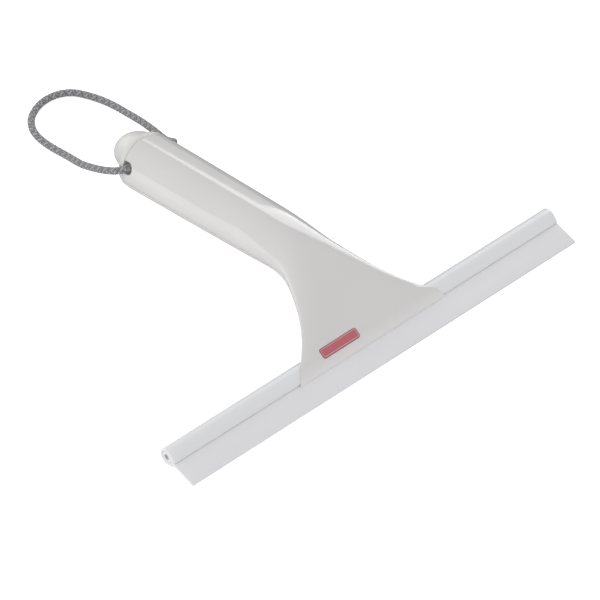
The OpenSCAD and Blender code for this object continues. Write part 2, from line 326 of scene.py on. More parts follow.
# The crease on each flank of the neck, where the head's rim grows out of the round handle: its angle
# above the widest line, in degrees, and its height
CREASE_ANGLE_ROWS = [
    (50, 0), (54.5, 2), (59, 5.5), (65.5, 12.5), (72.5, 19.5), (80, 24), (94.5, 31), (110, 35),
]
CREASE_HEIGHT_ROWS = [
    (46, 0), (50, 0.1), (56, 0.3), (63, 0.38), (71, 0.34), (80, 0.26), (92, 0.14), (104, 0.04), (110, 0),
]
# Degrees over which the crease fades, and over which its tip is rounded
CREASE_WIDTH = 12.0
CREASE_TIP = 1.2
crease_angle = smooth_curve(CREASE_ANGLE_ROWS)
crease_height = smooth_curve(CREASE_HEIGHT_ROWS)


def with_creases(at, line):
    """Lifts the line along its own normal at the crease's angle, on both flanks."""
    if not CREASE_HEIGHT_ROWS[0][0] < at < CREASE_HEIGHT_ROWS[-1][0]:
        return line
    angle = np.degrees(np.arctan2(line[:, 1] / crown(at), np.abs(line[:, 0]) / half_w(at)))
    away = np.hypot(angle - crease_angle(at), CREASE_TIP) - CREASE_TIP
    lift = crease_height(at) * np.exp(-away / CREASE_WIDTH)
    outward = np.stack([line[:, 0] / half_w(at) ** 2, line[:, 1] / crown(at) ** 2], 1)
    outward /= np.linalg.norm(outward, axis=1)[:, None]
    return line + outward * lift[:, None]


ACROSS = 121
EDGE_ROUND = 0.3
QUARTER = np.linspace(0, math.pi / 2, 5)
CORNER = [(EDGE_ROUND * (1 - math.sin(t)), EDGE_ROUND * (1 - math.cos(t))) for t in QUARTER]
ROUNDED_END = [SEAM_Y - EDGE_ROUND * (1 - math.sin(t)) for t in QUARTER]


def end_shrink(at):
    """How much smaller the outer skin is, as it rounds into the end face at the seam."""
    over = max(0.0, at - (SEAM_Y - EDGE_ROUND))
    return 1 - (EDGE_ROUND - math.sqrt(max(0.0, EDGE_ROUND**2 - over**2))) / END_HALF_H


# Where the front shell's hollow opens, and how low a hollow is where its shell is thin
HOLLOW_START, HOLLOW_GROWS_OVER = 26, 6
LEAST_HOLLOW = 0.4


def front_lines(at):
    """Outer and inner (across, up) lines of the front shell, both from left to right."""
    left = side_wall(at)
    foot = left[0]
    share = min(1.0, 0.5 * (parting(at) - PART_GAP) / EDGE_ROUND)
    corner = np.array([foot + np.array([dx, dz]) * share for dx, dz in CORNER])
    left = np.concatenate([corner, left[left[:, 1] > corner[-1, 1] + 0.01]])
    right = left[::-1] * [-1, 1]
    outer = with_creases(at, np.concatenate([left, arch(at, half_w(at), 0, crown(at)), right]))
    part = parting(at) - PART_GAP * min(1.0, parting(at))
    height = crown(at) + part
    opened = np.clip((at - HOLLOW_START) / HOLLOW_GROWS_OVER, 0, 1)
    hollow = max(LEAST_HOLLOW * min(1.0, height), (height - WALL) * opened)
    inner = arch(at, part_half(at) - WALL, -part, hollow)
    return even_out(outer, ACROSS) * end_shrink(at), even_out(inner, ACROSS)


ROUND_BELLY_START, ROUND_BELLY_END = 56, 72


def rear_lines(at):
    """Outer and inner (across, up) lines of the rear shell, both from left to right."""
    part = parting(at) + PART_GAP
    half = part_half(at)
    depth = belly(at) - part
    flat = arch(at, half, -part, -depth)
    v = -part - depth * np.sin(np.linspace(0, math.pi, len(flat)))
    u = half_w(at) * np.sqrt(np.maximum(0, 1 - (v / belly(at)) ** 2))
    u *= half / u[0]
    u[len(flat) // 2] = 0
    round_line = np.stack([u * np.where(np.arange(len(flat)) < len(flat) // 2, -1, 1), v], 1)
    share = ramp(at, ROUND_BELLY_START, ROUND_BELLY_END)
    corner = np.array(CORNER) * [1, -1]

    def rounded(line):
        body = line[line[:, 1] < -part - EDGE_ROUND]
        return np.concatenate([line[0] + corner, body, (line[-1] + corner * [-1, 1])[::-1]])

    outer = even_out(rounded(flat), ACROSS) * (1 - share) + even_out(rounded(round_line), ACROSS) * share
    hollow = max(LEAST_HOLLOW * min(1.0, depth), depth - WALL)
    inner = arch(at, half - WALL, -part, -hollow)
    return outer * end_shrink(at), even_out(inner, ACROSS)


def shell_grids(stations, lines):
    """Grids of outer and inner points, one row for each station."""
    pairs = [lines(at) for at in stations]
    outer = np.array([on_section(at, pair[0]) for at, pair in zip(stations, pairs)])
    inner = np.array([on_section(at, pair[1]) for at, pair in zip(stations, pairs)])
    return outer, inner


# ---- Things on the handle's own axis ----


def on_axis(x, away, up):
    """x across, away beyond the seam along the handle's axis, up from the axis, to millimetres."""
    c, s = math.cos(HANDLE_SLOPE), math.sin(HANDLE_SLOPE)
    return (x, SEAM_Y + away * c + up * s, SEAM_Z - away * s + up * c)


CROSS_IN = 3.2
CROSS_UP = 4.85
NOTCH_R = 3.0
CROSS_BORE_R = 2.3


def cross_rod(radius, length, steps=40):
    """A cutter along X through the cord's crossing."""
    angles = np.arange(steps) * 2 * math.pi / steps
    return tube_piece("cutter", [
        [on_axis(x, -CROSS_IN + radius * math.cos(a), CROSS_UP + radius * math.sin(a)) for a in angles]
        for x in (-length / 2, length / 2)
    ])


def notch_cutter():
    """The U-shaped notch that opens to the seam, right through both flanks."""
    past_seam = 1.5
    half_length = END_HALF_W + 7
    turns = [math.pi * i / 24 for i in range(25)]
    outline = [(-CROSS_IN - NOTCH_R * math.sin(t), CROSS_UP + NOTCH_R * math.cos(t)) for t in turns]
    outline += [(past_seam, CROSS_UP - NOTCH_R), (past_seam, CROSS_UP + NOTCH_R)]
    return tube_piece("cutter", [[on_axis(x, a, u) for a, u in outline] for x in (-half_length, half_length)])


# ---- Channel and rubber profiles: the tube's centre at 0, 0 and the flap along -x ----

BLADE_SLOPE = math.radians(15.2)
FLAP_T = 1.5
BEAD_R = 2.9
BEAD_BORE_R = 1.5
TUBE_Y = 17.85
TUBE_R = 4.35
LIP_LEN = 5.4
LIP_T = 1.0
SLIDE_GAP = 0.15
FLAP_LEN = (TUBE_Y - FLAP_T / 2 * math.sin(BLADE_SLOPE)) / math.cos(BLADE_SLOPE)
TUBE_Z = FLAP_LEN * math.sin(BLADE_SLOPE) + FLAP_T / 2 * math.cos(BLADE_SLOPE)


def profile_point(x, p):
    """A point p of a blade or channel profile, at x along the blade, to millimetres."""
    c, s = math.cos(BLADE_SLOPE), math.sin(BLADE_SLOPE)
    return (x, TUBE_Y + p[0] * c - p[1] * s, TUBE_Z + p[0] * s + p[1] * c)


def arc(centre, radius, start, end, steps):
    """Points on an arc, angles in degrees."""
    return [
        (centre[0] + radius * math.cos(math.radians(start + (end - start) * i / steps)),
         centre[1] + radius * math.sin(math.radians(start + (end - start) * i / steps)))
        for i in range(steps + 1)
    ]


def inset(outline, amount):
    """The outline moved inwards by amount, for a bevelled end; outline runs anticlockwise."""
    p = np.asarray(outline, float)
    along = np.roll(p, -1, 0) - np.roll(p, 1, 0)
    along /= np.linalg.norm(along, axis=1)[:, None]
    return p + np.stack([-along[:, 1], along[:, 0]], 1) * amount


def extruded(name, outline, half_length, bevel, stations, place=profile_point, smooth_angle=30):
    """A profile run along X, with bevelled ends; place turns (x, profile point) into millimetres.
    bevel is (whole size, size at its middle row)."""
    whole, middle = bevel
    end = [(-half_length, whole), (-half_length + middle, middle), (-half_length + whole, 0)]
    rows = end + [(x, 0) for x in np.linspace(-half_length, half_length, stations)[1:-1]]
    rows += [(-x, amount) for x, amount in end[::-1]]
    rings = [[place(x, p) for p in inset(outline, amount)] for x, amount in rows]
    n = len(outline)
    faces = grid_faces(len(rings), n, closed=True)
    faces += [tuple(range(n)), tuple(range((len(rings) - 1) * n, len(rings) * n))]
    return new_piece(name, np.array(rings).reshape(-1, 3), faces, smooth_angle)


LIP_EDGE = 0.6
LIP_INNER_EDGE = 0.25
CHANNEL_BEVEL = (0.15, 0.045)
# The channel's seat is cut a little larger than it, right through the head
SEAT_GAP = 0.1
SEAT_HALF = 70


def channel_outline(grow=0.0):
    """The tube's arc, the upper lip's rounded tip, and where the lips end."""
    lip_top = FLAP_T / 2 + SLIDE_GAP + LIP_T + grow
    r = TUBE_R + grow
    tip = -LIP_LEN - grow
    root = math.degrees(math.acos(r / math.hypot(tip, lip_top)))
    foot = math.degrees(math.atan2(lip_top, -tip))
    tangent = 180 - foot - root
    outer = arc((0, 0), r, -tangent, tangent, 64)
    upper_tip = arc((tip + LIP_EDGE, lip_top - LIP_EDGE), LIP_EDGE, 98, 180, 7)
    return outer, upper_tip, tip


def channel_piece():
    """The tube with its bore, open to the front between two lips."""
    outer, upper_tip, tip = channel_outline()
    half_gap = FLAP_T / 2 + SLIDE_GAP
    bore_r = BEAD_R + SLIDE_GAP
    mouth = math.degrees(math.asin(half_gap / bore_r))
    bore = arc((0, 0), bore_r, 180 - mouth, -180 + mouth, 48)
    upper = upper_tip + arc((tip + LIP_INNER_EDGE, half_gap + LIP_INNER_EDGE), LIP_INNER_EDGE, 180, 270, 4)
    lower = [(x, -y) for x, y in upper[::-1]]
    outline = outer + upper + bore + lower
    return extruded("channel_extrusion", outline, BLADE_W / 2, CHANNEL_BEVEL, 49)


def channel_cutter():
    """The channel's outer shape, a little larger, to cut its seat in the head."""
    outer, upper_tip, _ = channel_outline(SEAT_GAP)
    outline = outer + upper_tip + [(x, -y) for x, y in upper_tip[::-1]]
    rings = [[profile_point(x, p) for p in outline] for x in (-SEAT_HALF, SEAT_HALF)]
    n = len(outline)
    vertices = np.array(rings).reshape(-1, 3)
    faces = grid_faces(2, n, closed=True) + [tuple(range(n)), tuple(range(n, 2 * n))]
    return new_piece("cutter", vertices, faces, 30)


FLAP_TAPER = 0.12
# A point on the taper: its share of the flap's length, and of the taper
MID_PLACE, MID_TAPER = 0.6, 0.4
FLAP_EDGE = 0.18
# The rubber's ends stop just short of the channel's
RUBBER_SHY = 0.06
RUBBER_BEVEL = (0.08, 0.024)
BORE_CUTTER_HALF = 130


def rubber_piece():
    """Bead with its bore, and the flap, which thins a little towards a crisp working edge."""
    h = FLAP_T / 2
    join = math.degrees(math.asin(h / BEAD_R))
    bead = arc((0, 0), BEAD_R, -180 + join, 180 - join, 56)
    tip = -FLAP_LEN
    tip_h = h - FLAP_TAPER
    upper = [(-BEAD_R - 1.2, h), (-LIP_LEN - 1, h), (tip * MID_PLACE, h - FLAP_TAPER * MID_TAPER)]
    upper += arc((tip + FLAP_EDGE, tip_h - FLAP_EDGE), FLAP_EDGE, 90, 180, 3)
    lower = arc((tip + FLAP_EDGE, -h + FLAP_EDGE), FLAP_EDGE, 180, 270, 3)
    lower += [(tip * MID_PLACE, -h), (-LIP_LEN - 1, -h), (-BEAD_R - 1.2, -h)]
    piece = extruded("rubber_insert", bead + upper + lower, BLADE_W / 2 - RUBBER_SHY, RUBBER_BEVEL, 49)
    circle = arc((0, 0), BEAD_BORE_R, 0, 360, 40)[:-1]
    cut(piece, tube_piece("cutter", [
        [profile_point(x, p) for p in circle] for x in (-BORE_CUTTER_HALF, BORE_CUTTER_HALF)
    ]))
    finish_mesh(piece, 30)
    return piece


# ---- Shells ----

# x, y and the height of each screw's seat
SCREWS = [(-9.5, 46, 18.9), (9.5, 46, 18.9), (0, 95, 13.2), (0, 138, 8.8)]
SCREW_LEN = 6.0
COUNTERBORE_R = 3.2
COUNTERBORE_LEAD = 0.35
CLEAR_R = 1.7
REAR_BOSS_R = 4.6
SEAT_T = 1.6


def front_shell_piece():
    """Top shell: the head's skin, the neck and the handle's upper half."""
    stations = np.concatenate([
        np.linspace(HEAD_START, 20, 36)[:-1], np.linspace(20, NECK_START, 58)[:-1],
        np.linspace(NECK_START, SEAM_Y - EDGE_ROUND, 116)[:-1], ROUNDED_END,
    ])
    piece = shell_piece("handle_front", *shell_grids(stations, front_lines))
    cut(piece, notch_cutter())
    cut(piece, channel_cutter())
    finish_mesh(piece, 38)
    return piece


JAW_HALF = 25
JAW_BEVEL = (0.12, 0.04)
JAW_OUTLINE = [
    (20.5, 0.9), (23, 2.2), (25, 5), (27.6, 9.2), (30, 12.1), (33, 14.2), (33, 15.3),
    (30.3, 13.8), (26.3, 9.2), (23.4, 5.9), (21, 5.2), (19.5, 3),
]


def round_corners(outline, times=2):
    """Rounds a closed outline: cuts its corners, then the corners that this leaves."""
    p = np.asarray(outline, float)
    for _ in range(times):
        ahead = np.roll(p, -1, 0)
        p = np.stack([p * 0.75 + ahead * 0.25, p * 0.25 + ahead * 0.75], 1).reshape(-1, 2)
    return p


def jaw_piece():
    """The cradle that holds the channel from behind and below."""
    outline = round_corners(JAW_OUTLINE)
    return extruded("jaw", outline, JAW_HALF, JAW_BEVEL, 12, lambda x, p: (x, p[0], p[1]), 35)


def upright(name, x, y, profile, steps=48):
    """A turned shape standing at x, y."""
    rings = np.array(lathe_rings(profile, steps)) + [x, y, 0]
    return tube_piece(name, rings)


def rear_shell_piece():
    """Bottom shell with the jaw and the screws' bosses and holes."""
    stations = np.concatenate([
        np.linspace(REAR_START, NECK_START, 44)[:-1],
        np.linspace(NECK_START, SEAM_Y - EDGE_ROUND, 112)[:-1], ROUNDED_END,
    ])
    piece = shell_piece("handle_rear", *shell_grids(stations, rear_lines))
    cut(piece, jaw_piece(), "UNION")
    for x, y, seat in SCREWS:
        low = float(centre_z(y) - belly(y)) + WALL / 2
        top = seat + SEAT_T
        boss = [(REAR_BOSS_R, low), (REAR_BOSS_R, top - EDGE_ROUND), (REAR_BOSS_R - EDGE_ROUND, top)]
        cut(piece, upright("boss", x, y, boss), "UNION")
        mouth = low - WALL / 2
        cut(piece, upright("bore", x, y, [
            (COUNTERBORE_R + 1.5, mouth - 2), (COUNTERBORE_R, mouth + COUNTERBORE_LEAD),
            (COUNTERBORE_R, seat), (CLEAR_R, seat), (CLEAR_R, top + 1),
        ]))
    cut(piece, channel_cutter())
    finish_mesh(piece, 38)
    return piece


# ---- Screws ----

SCREW_R = 1.5
SCREW_HEAD_R = 2.8
SCREW_HEAD_T = 2.0
THREAD_PITCH = 1.0
THREAD_DEPTH = 0.32
RIDGE_HALF = 0.22
POINT_LEN = 1.6
POINT_TAPER = 0.75
RECESS_DEPTH = 1.2


def shank_rings(x, y, seat, columns):
    """A self-tapping screw's shank: a helical ridge that fades out at the point."""
    rows = 90
    rings = []
    for r in range(1, rows + 1):
        h = SCREW_LEN * r / rows
        point = 1 - POINT_TAPER * max(0.0, (h - SCREW_LEN + POINT_LEN) / POINT_LEN) ** 1.5
        ring = []
        for c in range(columns):
            a = 2 * math.pi * c / columns
            phase = (h / THREAD_PITCH - c / columns) % 1
            ridge = max(0.0, 1 - abs(phase - 0.5) / RIDGE_HALF)
            radius = (SCREW_R - THREAD_DEPTH + THREAD_DEPTH * ridge) * point
            ring.append((x + radius * math.cos(a), y + radius * math.sin(a), seat + h))
        rings.append(ring)
    return rings


def screw_piece(number, x, y, seat):
    """A pan-head screw driven up from below, with a cross recess in its head."""
    low = seat - SCREW_HEAD_T
    columns = 32
    head = np.array(lathe_rings([
        (0.4, low), (1.6, low + 0.05), (2.3, low + 0.3), (SCREW_HEAD_R - 0.15, low + 0.85),
        (SCREW_HEAD_R, low + 1.3), (SCREW_HEAD_R, seat - 0.1), (SCREW_HEAD_R - 0.1, seat),
        (SCREW_R - THREAD_DEPTH, seat),
    ], columns)) + [x, y, 0]
    piece = tube_piece("screw_%d" % number, list(head) + shank_rings(x, y, seat, columns))
    # The recess is one cross-shaped cutter that narrows as it goes in
    rings = []
    for z, half, wide in ((low - 0.5, 1.75, 0.45), (low + RECESS_DEPTH, 0.9, 0.25)):
        arm = [(half, -wide), (half, wide), (wide, wide)]
        turns = ((1, 0), (0, 1), (-1, 0), (0, -1))
        rings.append([(x + a * c - b * s, y + a * s + b * c, z) for c, s in turns for a, b in arm])
    cut(piece, tube_piece("recess", rings))
    finish_mesh(piece, 32)
    return piece


# ---- End cap ----

COLLAR_LEN = 4.0
COLLAR_HALF_W = 15.2
COLLAR_HALF_H = 14.1
LUG_LEN = 19.0
LUG_HALF_W = 11.8
LUG_HALF_H = 10.8
LUG_LIFT = 3.0
LUG_BLUNT = 0.85
PLUG_R = 11.2
PLUG_LEN = 16.0
PLUG_WALL = 1.8
PLUG_FLOOR = 2.0
SEAM_GAP = 0.28
COLLAR_ROUND = 1.8


def lug_reach(away, angle):
    """Distance from the axis to the lug's skin, at a distance beyond the seam and an angle."""
    a = math.asin(min(1.0, max(0.0, away / LUG_LEN)))
    size = max(math.cos(a), 1e-6) ** LUG_BLUNT
    w, h, lift = LUG_HALF_W * size, LUG_HALF_H * size, LUG_LIFT * math.cos(a)
    c, s = math.cos(angle), math.sin(angle)
    qa = (c / w) ** 2 + (s / h) ** 2
    qb = -2 * s * lift / h**2
    qc = (lift / h) ** 2 - 1
    return (-qb + math.sqrt(qb * qb - 4 * qa * qc)) / (2 * qa)


def collar_shrink(away):
    """How far the collar's rounded shoulder is inside its full size."""
    over = max(0.0, away - (COLLAR_LEN - COLLAR_ROUND)) / COLLAR_ROUND
    return COLLAR_ROUND * (1 - math.sqrt(max(0.0, 1 - min(1.0, over) ** 2)))


def collar_reach(away, angle):
    """Distance from the axis to the collar's skin."""
    shrink = collar_shrink(away)
    w, h = COLLAR_HALF_W - shrink, COLLAR_HALF_H - shrink
    return 1 / math.hypot(math.cos(angle) / w, math.sin(angle) / h)


def soft_max(a, b, blend=0.35):
    """The larger of two lengths, with the corner between them blended."""
    return (a + b + math.sqrt((a - b) ** 2 + blend**2)) / 2


def end_cap_piece():
    """Plug, collar and lug as one skin round the handle's axis, then the cord's cross bore."""
    steps = 112
    angles = [2 * math.pi * i / steps for i in range(steps)]

    def ring(away, reach):
        return [on_axis(reach(a) * math.cos(a), away, reach(a) * math.sin(a)) for a in angles]

    def oval(inset_by):
        return lambda a: 1 / math.hypot(
            math.cos(a) / (COLLAR_HALF_W - inset_by), math.sin(a) / (COLLAR_HALF_H - inset_by))

    rings = [ring(away, lambda a: PLUG_R - PLUG_WALL) for away in (-PLUG_FLOOR, -PLUG_LEN + 0.3)]
    rings += [ring(-PLUG_LEN, lambda a, r=r: r) for r in (PLUG_R - PLUG_WALL + 0.3, PLUG_R - 0.5)]
    rings += [ring(-PLUG_LEN + 0.6, lambda a: PLUG_R), ring(SEAM_GAP, lambda a: PLUG_R)]
    rings += [ring(SEAM_GAP, oval(0.35)), ring(SEAM_GAP + 0.1, oval(0.1)), ring(SEAM_GAP + 0.35, oval(0))]
    shoulder = [COLLAR_LEN - COLLAR_ROUND * (1 - math.sin(t)) for t in np.linspace(0.1, math.pi / 2, 16)]
    for away in [*np.linspace(0.8, COLLAR_LEN - COLLAR_ROUND, 3), *shoulder]:
        rings.append(ring(away, lambda a, w=away: soft_max(collar_reach(w, a), lug_reach(w, a))))
    # The shelf between the collar and the lug: (beyond the collar, in from its edge)
    shelf = [(0.02, 0.8), (0.03, 1.8), (0.05, 2.6), (0.12, 3.3), (0.3, 3.9)]
    for beyond, lower in shelf:
        away = COLLAR_LEN + beyond
        rings.append(ring(
            away, lambda a, w=away, d=lower: soft_max(collar_reach(COLLAR_LEN, a) - d, lug_reach(w, a))))
    for t in np.linspace(math.asin((COLLAR_LEN + 0.8) / LUG_LEN), math.radians(89.2), 44):
        away = LUG_LEN * math.sin(t)
        rings.append(ring(away, lambda a, w=away: lug_reach(w, a)))
    piece = tube_piece("cap_body", rings, 40)
    cut(piece, cross_rod(CROSS_BORE_R, 30))
    finish_mesh(piece, 40)
    return piece


# ---- Badge ----

BADGE_X = -17.0
BADGE_Y = 16.2
BADGE_LEN = 22.5
BADGE_W = 4.9
BADGE_CORNER = 1.2


def skin_height(x, y):
    """Height of the front shell's outer skin."""
    n = square(y)
    return centre_z(y) + crown(y) * (1 - (abs(x) / half_w(y)) ** n) ** (1 / n)


def badge_piece():
    """A thin plate that follows the head, with a rounded rim round a slightly sunk field."""
    corner_steps = 8

    def outline(shrink):
        a, b = BADGE_LEN / 2 - BADGE_CORNER, BADGE_W / 2 - BADGE_CORNER
        r = BADGE_CORNER - shrink
        if r < 0.15:
            a, b, r = a + r - 0.15, b + r - 0.15, 0.15
        points = []
        for cx, cy, start in ((a, b, 0), (-a, b, 90), (-a, -b, 180), (a, -b, 270)):
            points += arc((cx, cy), r, start, start + 90, corner_steps)
        return points

    # (in from the edge, above the skin, shade: 0 rim, 0.5 groove, 1 field)
    rows = [
        (0, -0.35, 0), (0, 0.18, 0), (0.06, 0.26, 0), (0.16, 0.3, 0), (0.36, 0.3, 0), (0.44, 0.26, 0.5),
        (0.5, 0.2, 0.5), (0.74, 0.2, 0.5), (0.8, 0.24, 1), (1.4, 0.24, 1), (2.0, 0.24, 1),
    ]
    step = 0.3
    rings = []
    for shrink, lift, _ in rows:
        ring = []
        for px, py in outline(shrink):
            x = BADGE_X + px
            fall = (skin_height(x, BADGE_Y + step) - skin_height(x, BADGE_Y - step)) / (2 * step)
            y = BADGE_Y + py / math.hypot(1, fall)
            gx = (skin_height(x + step, y) - skin_height(x - step, y)) / (2 * step)
            gy = (skin_height(x, y + step) - skin_height(x, y - step)) / (2 * step)
            normal = np.array([-gx, -gy, 1]) / math.sqrt(gx * gx + gy * gy + 1)
            ring.append(np.array([x, y, skin_height(x, y)]) + normal * lift)
        rings.append(ring)
    rings = np.array(rings)
    n = rings.shape[1]
    faces = grid_faces(len(rings), n, closed=True)
    faces.append(tuple(range(n)))
    first = (len(rings) - 1) * n
    # The field is closed by strips from the top long side to the bottom one
    faces += [
        (first + i, first + i + 1, first + n - 2 - i, first + n - 1 - i) for i in range(0, n // 2 - 1)
    ]
    piece = new_piece("badge_plate", rings.reshape(-1, 3), faces, 40)
    shades = piece.data.color_attributes.new("field", "FLOAT_COLOR", "POINT")
    ring_shade = np.repeat([row[2] for row in rows], n)
    shades.data.foreach_set("color", np.stack([ring_shade] * 3 + [np.ones(len(ring_shade))], 1).ravel())
    return piece


# ---- Cord ----

CORD_D = 3.7
CORD_ROUTE = [
    (-0.4, 166.1, 19.5), (-10.6, 166.1, 19.5), (-13.6, 166.7, 19.3), (-16.1, 168.1, 18.7),
    (-17.9, 170.4, 17.7), (-18.9, 173.4, 16.5), (-19.6, 177.2, 14.9), (-20, 184, 12.2), (-19.8, 192, 9),
    (-19.2, 197, 7.2),
    (-18.1, 203.5, 5.1), (-17.3, 210.5, 3.2), (-17.3, 217, 2.2), (-17.5, 223, 1.9), (-17.2, 229.5, 1.9),
    (-15.4, 236, 1.9), (-11, 242.4, 1.9), (-5, 246.6, 1.9), (1.3, 248.8, 1.9), (7.4, 249.1, 1.9),
    (13.2, 247.4, 1.9), (17.8, 243.7, 1.9), (21, 238.2, 1.9), (22.9, 232, 2.4), (23.5, 226, 3.4),
    (23.5, 218.5, 4.9), (23, 212, 6.2), (22.4, 205.5, 7.7), (21.5, 197.5, 9.5), (19.9, 187, 11.6),
    (18.9, 180.2, 12.4), (18.4, 176, 13), (18.1, 172.4, 14.4), (17.5, 169.7, 16.2), (16.1, 167.7, 18.1),
    (13.7, 166.5, 19.3), (10.6, 166.1, 19.5), (0.4, 166.1, 19.5),
]
CORD_SIDES = 64
CORD_STEP = 0.16
BRAID_STRANDS = 8
BRAID_PITCH = 9.0
BRAID_DEPTH = 0.3


def cord_line():
    """The route as a smooth line with a point every CORD_STEP millimetres."""
    route = np.array(CORD_ROUTE, float)
    ahead = np.concatenate([route[1:], route[-1:]])
    back = np.concatenate([route[:1], route[:-1]])
    gap = np.linalg.norm(ahead - route, axis=1) + np.linalg.norm(route - back, axis=1)
    heading = (ahead - back) / gap[:, None]
    points = []
    for a, b, ga, gb in zip(route[:-1], route[1:], heading[:-1], heading[1:]):
        length = np.linalg.norm(b - a)
        t = np.linspace(0, 1, 40, endpoint=False)[:, None]
        points.append(
            a * (2 * t**3 - 3 * t**2 + 1) + ga * length * (t**3 - 2 * t**2 + t)
            + b * (3 * t**2 - 2 * t**3) + gb * length * (t**3 - t**2)
        )
    line = np.concatenate(points + [route[-1:]])
    return even_out(line, int(round(line_length(line) / CORD_STEP)), 0)


def line_length(line):
    """Length of a line of points."""
    return float(np.linalg.norm(np.diff(line, axis=0), axis=1).sum())


def braid_relief(along, around):
    """Height, yarn number and place across the yarn in a diamond braid, from length along and angle round."""
    turns = along / BRAID_PITCH
    left = around / (2 * math.pi) * BRAID_STRANDS + turns * BRAID_STRANDS
    right = around / (2 * math.pi) * BRAID_STRANDS - turns * BRAID_STRANDS
    cell = np.floor(left) + np.floor(right)
    over_left = np.mod(cell, 2) == 0
    fl, fr = np.mod(left, 1), np.mod(right, 1)
    across = np.where(over_left, fl, fr)
    run = np.where(over_left, fr, fl)
    height = np.sqrt(np.maximum(0, 1 - (2 * across - 1) ** 2)) * (0.45 + 0.55 * np.sin(math.pi * run))
    left_yarn = np.mod(np.floor(left), BRAID_STRANDS)
    right_yarn = BRAID_STRANDS + np.mod(np.floor(right), BRAID_STRANDS)
    yarn = np.where(over_left, left_yarn, right_yarn)
    return height, yarn, across


def cord_piece():
    """The braided loop, and its centre line; the yarns' numbers and relief go into a colour attribute."""
    line = cord_line()
    heading = np.gradient(line, axis=0)
    heading /= np.linalg.norm(heading, axis=1)[:, None]
    # A frame carried along the line without twist
    side = np.zeros_like(line)
    side[0] = np.cross(heading[0], [0, 0.12, 1])
    side[0] /= np.linalg.norm(side[0])
    for i in range(1, len(line)):
        s = side[i - 1] - heading[i] * np.dot(side[i - 1], heading[i])
        side[i] = s / np.linalg.norm(s)
    top = np.cross(side, heading)
    around = np.arange(CORD_SIDES) * 2 * math.pi / CORD_SIDES
    along = np.arange(len(line)) * (line_length(line) / (len(line) - 1))
    height, yarn, across = braid_relief(along[:, None], around[None, :])
    radius = CORD_D / 2 - BRAID_DEPTH * (1 - height)
    rings = line[:, None, :] + radius[..., None] * (
        np.cos(around)[None, :, None] * side[:, None, :] + np.sin(around)[None, :, None] * top[:, None, :])
    piece = tube_piece("braided_cord", rings, 60)
    shades = piece.data.color_attributes.new("yarn", "FLOAT_COLOR", "POINT")
    flat = np.ones((len(piece.data.vertices), 4))
    count = yarn.size
    flat[:count, 0] = ((yarn + 0.5) / (2 * BRAID_STRANDS)).ravel()
    # Green holds the relief's height, which the yarn material turns into painted shade in the gaps and
    # painted light on the crowns
    flat[:count, 1] = height.ravel()
    flat[:count, 2] = across.ravel()
    shades.data.foreach_set("color", flat.ravel())
    return piece, line


# ---- Materials ----


class Nodes:
    """A short way to build a material's node tree."""

    def __init__(self, name):
        self.material = bpy.data.materials.new(name)
        self.material.use_nodes = True
        self.tree = self.material.node_tree
        self.tree.nodes.clear()
        self.output = self.tree.nodes.new("ShaderNodeOutputMaterial")
        self.shader = self.tree.nodes.new("ShaderNodeBsdfPrincipled")
        self.link(self.shader.outputs["BSDF"], self.output.inputs["Surface"])
        self.place = self.tree.nodes.new("ShaderNodeTexCoord").outputs["Object"]

    def link(self, source, target):
        self.tree.links.new(source, target)

    def set(self, **values):
        for name, value in values.items():
            self.shader.inputs[name.replace("_", " ")].default_value = value
        return self

    def scaled(self, scale):
        node = self.tree.nodes.new("ShaderNodeMapping")
        node.inputs["Scale"].default_value = scale
        self.link(self.place, node.inputs["Vector"])
        return node.outputs["Vector"]

    def noise(self, scale, detail=3.0, roughness=0.5, vector=None):
        node = self.tree.nodes.new("ShaderNodeTexNoise")
        node.inputs["Scale"].default_value = scale
        node.inputs["Detail"].default_value = detail
        node.inputs["Roughness"].default_value = roughness
        self.link(vector or self.place, node.inputs["Vector"])
        return node.outputs["Fac"]

    def ramp(self, source, stops):
        node = self.tree.nodes.new("ShaderNodeValToRGB")
        elements = node.color_ramp.elements
        while len(elements) < len(stops):
            elements.new(0.5)
        for element, (at, colour) in zip(elements, stops):
            element.position = at
            element.color = (*colour, 1) if len(colour) == 3 else colour
        self.link(source, node.inputs["Fac"])
        return node.outputs["Color"]

    def range(self, source, low, high):
        node = self.tree.nodes.new("ShaderNodeMapRange")
        node.inputs["To Min"].default_value = low
        node.inputs["To Max"].default_value = high
        self.link(source, node.inputs["Value"])
        return node.outputs["Result"]

    def mix(self, factor, a, b, mode="MIX"):
        node = self.tree.nodes.new("ShaderNodeMix")
        node.data_type = "RGBA"
        node.blend_type = mode
        for socket, value in zip((node.inputs[0], node.inputs[6], node.inputs[7]), (factor, a, b)):
            if isinstance(value, bpy.types.NodeSocket):
                self.link(value, socket)
            else:
                socket.default_value = value
        return node.outputs[2]

    def bump(self, height, distance, strength=1.0, normal=None):
        node = self.tree.nodes.new("ShaderNodeBump")
        node.inputs["Distance"].default_value = distance
        node.inputs["Strength"].default_value = strength
        self.link(height, node.inputs["Height"])
        if normal is not None:
            self.link(normal, node.inputs["Normal"])
        return node.outputs["Normal"]


